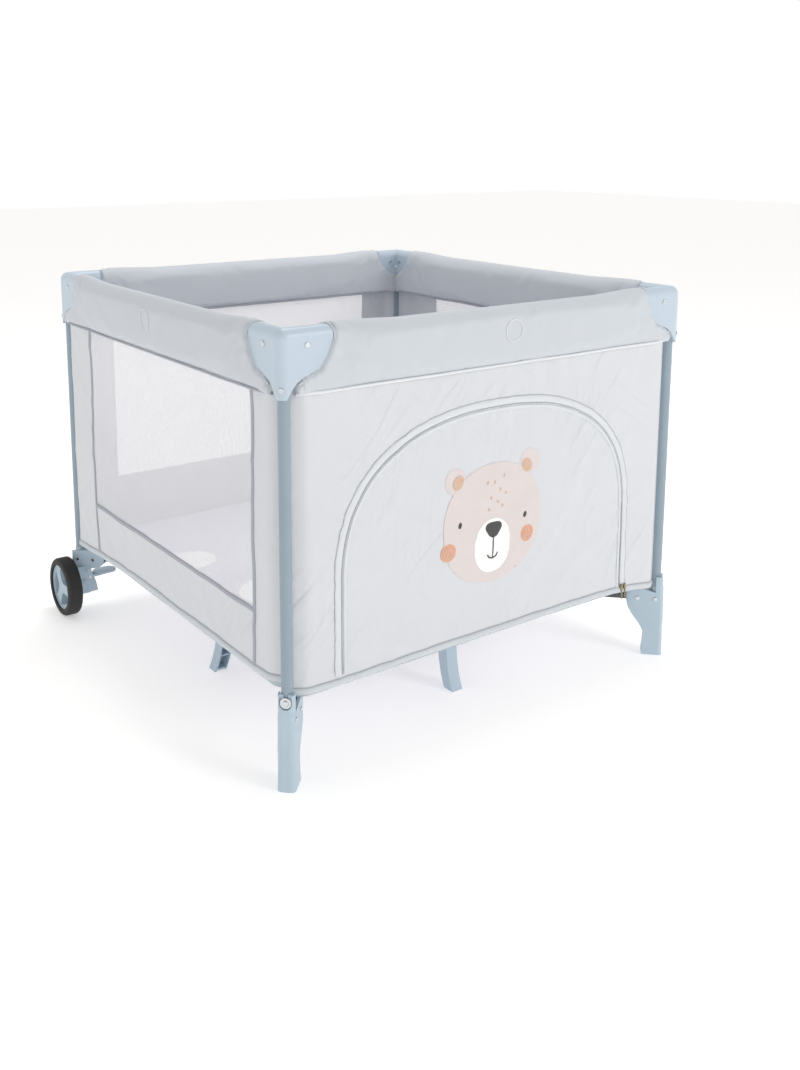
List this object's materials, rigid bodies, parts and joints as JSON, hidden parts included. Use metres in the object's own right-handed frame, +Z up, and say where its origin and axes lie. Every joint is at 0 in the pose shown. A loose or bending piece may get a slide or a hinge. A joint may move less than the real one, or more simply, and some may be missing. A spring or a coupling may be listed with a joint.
{
  "type": "playpen",
  "caption": "Square folding playpen with mesh sides, a zipped doorway in front, a padded rim, corner caps, a mattress and two wheels.",
  "frame": {"origin": "on the floor, under the middle of the whole object's box", "axes": "+Z up, front (doorway) at -Y, +X to the right when facing the front, wheels at +Y"},
  "size_m": [1, 0.97, 0.77],
  "materials": {
    "post_tube": "satin powder coat",
    "frame_tube": "dark grey powder coat",
    "lock_plastic": "matte",
    "button_plastic": "matte",
    "cap_plastic": "smooth moulded, grey blue",
    "foot_plastic": "moulded, grey blue",
    "rivet_steel": "bright",
    "tyre": "matte",
    "wheel_plastic": "moulded, grey blue",
    "pedal_plastic": "moulded, grey blue",
    "hub_plastic": "matte",
    "panel_fabric": "woven",
    "rim_fabric": "woven, padded",
    "mattress_fabric": "woven, padded",
    "zip_metal": "bright"
  },
  "bodies": {
    "front_left": {"post_front_left": "post_tube", "corner_cap_front_left": "cap_plastic", "fasteners_front_left": "rivet_steel", "foot_front_left": "foot_plastic", "wall_front": "panel_fabric", "wall_left": "panel_fabric", "rim_pads": "rim_fabric", "floor_panel": "mattress_fabric", "mattress": "mattress_fabric", "zip_sliders": "zip_metal"},
    "front_right": {"post_front_right": "post_tube", "corner_cap_front_right": "cap_plastic", "fasteners_front_right": "rivet_steel", "foot_front_right": "foot_plastic", "wall_right": "panel_fabric"},
    "back_left": {"post_back_left": "post_tube", "corner_cap_back_left": "cap_plastic", "fasteners_back_left": "rivet_steel", "foot_back_left": "foot_plastic", "wall_back": "panel_fabric"},
    "back_right": {"post_back_right": "post_tube", "corner_cap_back_right": "cap_plastic", "fasteners_back_right": "rivet_steel", "foot_back_right": "foot_plastic"},
    "base_front_left": {"base_tube_front_left": "frame_tube"},
    "base_front_right": {"base_tube_front_right": "frame_tube"},
    "base_back_left": {"base_tube_back_left": "frame_tube"},
    "base_back_right": {"base_tube_back_right": "frame_tube"},
    "hub": {"centre_hub": "hub_plastic"},
    "rail_front_left": {"rail_front_left_half": "frame_tube"},
    "rail_lock_front": {"rail_lock_front": "lock_plastic"},
    "lock_button_front": {"lock_button_front": "button_plastic"},
    "rail_front_right": {"rail_front_right_half": "frame_tube"},
    "rail_right_front": {"rail_right_front_half": "frame_tube"},
    "rail_lock_right": {"rail_lock_right": "lock_plastic"},
    "lock_button_right": {"lock_button_right": "button_plastic"},
    "rail_right_back": {"rail_right_back_half": "frame_tube"},
    "rail_back_left": {"rail_back_left_half": "frame_tube"},
    "rail_lock_back": {"rail_lock_back": "lock_plastic"},
    "lock_button_back": {"lock_button_back": "button_plastic"},
    "rail_back_right": {"rail_back_right_half": "frame_tube"},
    "rail_left_front": {"rail_left_front_half": "frame_tube"},
    "rail_lock_left": {"rail_lock_left": "lock_plastic"},
    "lock_button_left": {"lock_button_left": "button_plastic"},
    "rail_left_back": {"rail_left_back_half": "frame_tube"},
    "support_arm_right": {"support_arm_right": "frame_tube"},
    "support_leg_right": {"support_leg_right": "foot_plastic"},
    "support_arm_back": {"support_arm_back": "frame_tube"},
    "support_leg_back": {"support_leg_back": "foot_plastic"},
    "support_arm_left": {"support_arm_left": "frame_tube"},
    "support_leg_left": {"support_leg_left": "foot_plastic"},
    "support_arm_front": {"support_arm_front": "frame_tube"},
    "support_leg_front": {"support_leg_front": "foot_plastic"},
    "wheel_back_left": {"tyre_back_left": "tyre", "wheel_hub_back_left": "wheel_plastic"},
    "pedal_back_left": {"brake_pedal_back_left": "pedal_plastic"},
    "wheel_back_right": {"tyre_back_right": "tyre", "wheel_hub_back_right": "wheel_plastic"},
    "pedal_back_right": {"brake_pedal_back_right": "pedal_plastic"},
    "door": {"door_panel": "panel_fabric"}
  },
  "joints": [
    {"name": "fold", "type": "hinge", "parent": "front_left", "child": "base_front_left", "pos_m": [-0.41672, -0.43737, 0.121], "axis": [0.7119, -0.7023, 0], "range_deg": [0, 75], "deforming": ["wall_front", "wall_right", "wall_back", "door_panel", "rim_pads", "floor_panel", "mattress", "wall_left"]},
    {"name": "hub_fold", "type": "hinge", "parent": "base_front_left", "child": "hub", "pos_m": [-0.04214, -0.05771, 0.121], "axis": [-0.7119, 0.7023, 0], "range_deg": [0, 75]},
    {"name": "base_fold_front_right", "type": "hinge", "parent": "hub", "child": "base_front_right", "pos_m": [0.04214, -0.05771, 0.121], "axis": [0.7119, 0.7023, 0], "range_deg": [0, 75]},
    {"name": "corner_fold_front_right", "type": "hinge", "parent": "base_front_right", "child": "front_right", "pos_m": [0.41672, -0.43737, 0.121], "axis": [-0.7119, -0.7023, 0], "range_deg": [0, 75]},
    {"name": "base_fold_back_left", "type": "hinge", "parent": "hub", "child": "base_back_left", "pos_m": [-0.04214, 0.02771, 0.121], "axis": [-0.7119, -0.7023, 0], "range_deg": [0, 75]},
    {"name": "corner_fold_back_left", "type": "hinge", "parent": "base_back_left", "child": "back_left", "pos_m": [-0.41672, 0.40737, 0.121], "axis": [0.7119, 0.7023, 0], "range_deg": [0, 75]},
    {"name": "base_fold_back_right", "type": "hinge", "parent": "hub", "child": "base_back_right", "pos_m": [0.04214, 0.02771, 0.121], "axis": [-0.7119, 0.7023, 0], "range_deg": [0, 75]},
    {"name": "corner_fold_back_right", "type": "hinge", "parent": "base_back_right", "child": "back_right", "pos_m": [0.41672, 0.40737, 0.121], "axis": [0.7119, -0.7023, 0], "range_deg": [0, 75]},
    {"name": "rail_fold_front_left", "type": "hinge", "parent": "front_left", "child": "rail_front_left", "pos_m": [-0.408, -0.463, 0.738], "axis": [0, 1, 0], "range_deg": [0, 75]},
    {"name": "lock_fold_front", "type": "hinge", "parent": "rail_front_left", "child": "rail_lock_front", "pos_m": [-0.03342, -0.463, 0.738], "axis": [0, -1, 0], "range_deg": [0, 75]},
    {"name": "button_press_front", "type": "slide", "parent": "rail_lock_front", "child": "lock_button_front", "axis": [0, 0, 1], "range_m": [0, 0.004], "stiffness_N_per_m": 300},
    {"name": "rail_fold_front_right", "type": "hinge", "parent": "front_right", "child": "rail_front_right", "pos_m": [0.408, -0.463, 0.738], "axis": [0, -1, 0], "range_deg": [0, 75]},
    {"name": "rail_fold_right_front", "type": "hinge", "parent": "front_right", "child": "rail_right_front", "pos_m": [0.442, -0.429, 0.738], "axis": [-1, 0, 0], "range_deg": [0, 75]},
    {"name": "lock_fold_right", "type": "hinge", "parent": "rail_right_front", "child": "rail_lock_right", "pos_m": [0.442, -0.04934, 0.738], "axis": [1, 0, 0], "range_deg": [0, 75]},
    {"name": "button_press_right", "type": "slide", "parent": "rail_lock_right", "child": "lock_button_right", "axis": [0, 0, 1], "range_m": [0, 0.004], "stiffness_N_per_m": 300},
    {"name": "rail_fold_right_back", "type": "hinge", "parent": "back_right", "child": "rail_right_back", "pos_m": [0.442, 0.399, 0.738], "axis": [1, 0, 0], "range_deg": [0, 75]},
    {"name": "rail_fold_back_left", "type": "hinge", "parent": "back_left", "child": "rail_back_left", "pos_m": [-0.408, 0.433, 0.738], "axis": [0, 1, 0], "range_deg": [0, 75]},
    {"name": "lock_fold_back", "type": "hinge", "parent": "rail_back_left", "child": "rail_lock_back", "pos_m": [-0.03342, 0.433, 0.738], "axis": [0, -1, 0], "range_deg": [0, 75]},
    {"name": "button_press_back", "type": "slide", "parent": "rail_lock_back", "child": "lock_button_back", "axis": [0, 0, 1], "range_m": [0, 0.004], "stiffness_N_per_m": 300},
    {"name": "rail_fold_back_right", "type": "hinge", "parent": "back_right", "child": "rail_back_right", "pos_m": [0.408, 0.433, 0.738], "axis": [0, -1, 0], "range_deg": [0, 75]},
    {"name": "rail_fold_left_front", "type": "hinge", "parent": "front_left", "child": "rail_left_front", "pos_m": [-0.442, -0.429, 0.738], "axis": [-1, 0, 0], "range_deg": [0, 75]},
    {"name": "lock_fold_left", "type": "hinge", "parent": "rail_left_front", "child": "rail_lock_left", "pos_m": [-0.442, -0.04934, 0.738], "axis": [1, 0, 0], "range_deg": [0, 75]},
    {"name": "button_press_left", "type": "slide", "parent": "rail_lock_left", "child": "lock_button_left", "axis": [0, 0, 1], "range_m": [0, 0.004], "stiffness_N_per_m": 300},
    {"name": "rail_fold_left_back", "type": "hinge", "parent": "back_left", "child": "rail_left_back", "pos_m": [-0.442, 0.399, 0.738], "axis": [1, 0, 0], "range_deg": [0, 75]},
    {"name": "arm_fold_right", "type": "hinge", "parent": "hub", "child": "support_arm_right", "pos_m": [0.06, -0.015, 0.121], "axis": [0, 1, 0], "range_deg": [0, 75]},
    {"name": "leg_fold_right", "type": "hinge", "parent": "support_arm_right", "child": "support_leg_right", "pos_m": [0.314, -0.015, 0.121], "axis": [0, -1, 0], "range_deg": [0, 75]},
    {"name": "arm_fold_back", "type": "hinge", "parent": "hub", "child": "support_arm_back", "pos_m": [0, 0.045, 0.121], "axis": [-1, 0, 0], "range_deg": [0, 75]},
    {"name": "leg_fold_back", "type": "hinge", "parent": "support_arm_back", "child": "support_leg_back", "pos_m": [0, 0.299, 0.121], "axis": [1, 0, 0], "range_deg": [0, 75]},
    {"name": "arm_fold_left", "type": "hinge", "parent": "hub", "child": "support_arm_left", "pos_m": [-0.06, -0.015, 0.121], "axis": [0, -1, 0], "range_deg": [0, 75]},
    {"name": "leg_fold_left", "type": "hinge", "parent": "support_arm_left", "child": "support_leg_left", "pos_m": [-0.314, -0.015, 0.121], "axis": [0, 1, 0], "range_deg": [0, 75]},
    {"name": "arm_fold_front", "type": "hinge", "parent": "hub", "child": "support_arm_front", "pos_m": [0, -0.075, 0.121], "axis": [1, 0, 0], "range_deg": [0, 75]},
    {"name": "leg_fold_front", "type": "hinge", "parent": "support_arm_front", "child": "support_leg_front", "pos_m": [0, -0.329, 0.121], "axis": [-1, 0, 0], "range_deg": [0, 75]},
    {"name": "wheel_spin_back_left", "type": "hinge", "parent": "back_left", "child": "wheel_back_left", "pos_m": [-0.484, 0.4205, 0.0645], "axis": [1, 0, 0], "continuous": true},
    {"name": "brake_press_back_left", "type": "hinge", "parent": "back_left", "child": "pedal_back_left", "pos_m": [-0.43, 0.433, 0.076], "axis": [0, 1, 0], "range_deg": [0, 15]},
    {"name": "wheel_spin_back_right", "type": "hinge", "parent": "back_right", "child": "wheel_back_right", "pos_m": [0.484, 0.4205, 0.0645], "axis": [1, 0, 0], "continuous": true},
    {"name": "brake_press_back_right", "type": "hinge", "parent": "back_right", "child": "pedal_back_right", "pos_m": [0.43, 0.433, 0.076], "axis": [0, -1, 0], "range_deg": [0, 15]},
    {"name": "door_open", "type": "hinge", "parent": "front_left", "child": "door", "pos_m": [0, -0.4755, 0.176], "axis": [1, 0, 0], "range_deg": [0, 100]}
  ],
  "couplings": [
    {"joint": "hub_fold", "follows": "fold", "ratio": 1},
    {"joint": "base_fold_front_right", "follows": "fold", "ratio": 1},
    {"joint": "corner_fold_front_right", "follows": "fold", "ratio": 1},
    {"joint": "base_fold_back_left", "follows": "fold", "ratio": 1},
    {"joint": "corner_fold_back_left", "follows": "fold", "ratio": 1},
    {"joint": "base_fold_back_right", "follows": "fold", "ratio": 1},
    {"joint": "corner_fold_back_right", "follows": "fold", "ratio": 1},
    {"joint": "rail_fold_front_left", "follows": "fold", "ratio": 1},
    {"joint": "lock_fold_front", "follows": "fold", "ratio": 1},
    {"joint": "rail_fold_front_right", "follows": "fold", "ratio": 1},
    {"joint": "rail_fold_right_front", "follows": "fold", "ratio": 1},
    {"joint": "lock_fold_right", "follows": "fold", "ratio": 1},
    {"joint": "rail_fold_right_back", "follows": "fold", "ratio": 1},
    {"joint": "rail_fold_back_left", "follows": "fold", "ratio": 1},
    {"joint": "lock_fold_back", "follows": "fold", "ratio": 1},
    {"joint": "rail_fold_back_right", "follows": "fold", "ratio": 1},
    {"joint": "rail_fold_left_front", "follows": "fold", "ratio": 1},
    {"joint": "lock_fold_left", "follows": "fold", "ratio": 1},
    {"joint": "rail_fold_left_back", "follows": "fold", "ratio": 1},
    {"joint": "arm_fold_right", "follows": "fold", "ratio": 1},
    {"joint": "leg_fold_right", "follows": "fold", "ratio": 1},
    {"joint": "arm_fold_back", "follows": "fold", "ratio": 1},
    {"joint": "leg_fold_back", "follows": "fold", "ratio": 1},
    {"joint": "arm_fold_left", "follows": "fold", "ratio": 1},
    {"joint": "leg_fold_left", "follows": "fold", "ratio": 1},
    {"joint": "arm_fold_front", "follows": "fold", "ratio": 1},
    {"joint": "leg_fold_front", "follows": "fold", "ratio": 1}
  ]
}
